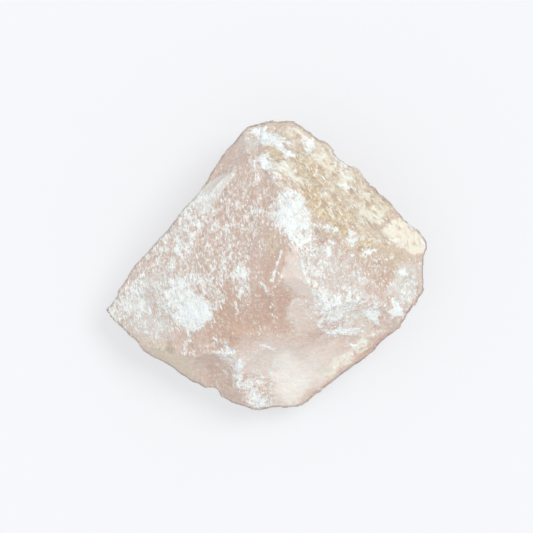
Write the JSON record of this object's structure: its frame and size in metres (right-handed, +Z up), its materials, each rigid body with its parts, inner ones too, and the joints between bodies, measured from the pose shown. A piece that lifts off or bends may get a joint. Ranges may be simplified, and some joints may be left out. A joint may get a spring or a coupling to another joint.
{
  "type": "rose quartz chunk",
  "caption": "Rough broken chunk of rose quartz with a main ridge, flat split faces, shell-shaped fracture scars and ledges, resting on a flat fracture face.",
  "frame": {"origin": "under the middle of the stone's box, at the height of its flat resting face", "axes": "+Z up from the resting face, +X along the stone's length towards the cream corner, +Y towards the narrow top of the outline seen from above"},
  "size_m": [0.0902, 0.0816, 0.0469],
  "materials": {
    "rose_quartz": "rough broken quartz, cloudy pale pink with white frost and iron stain, softly translucent"
  },
  "bodies": {
    "root": {"rose_quartz_chunk": "rose_quartz"}
  },
  "joints": []
}
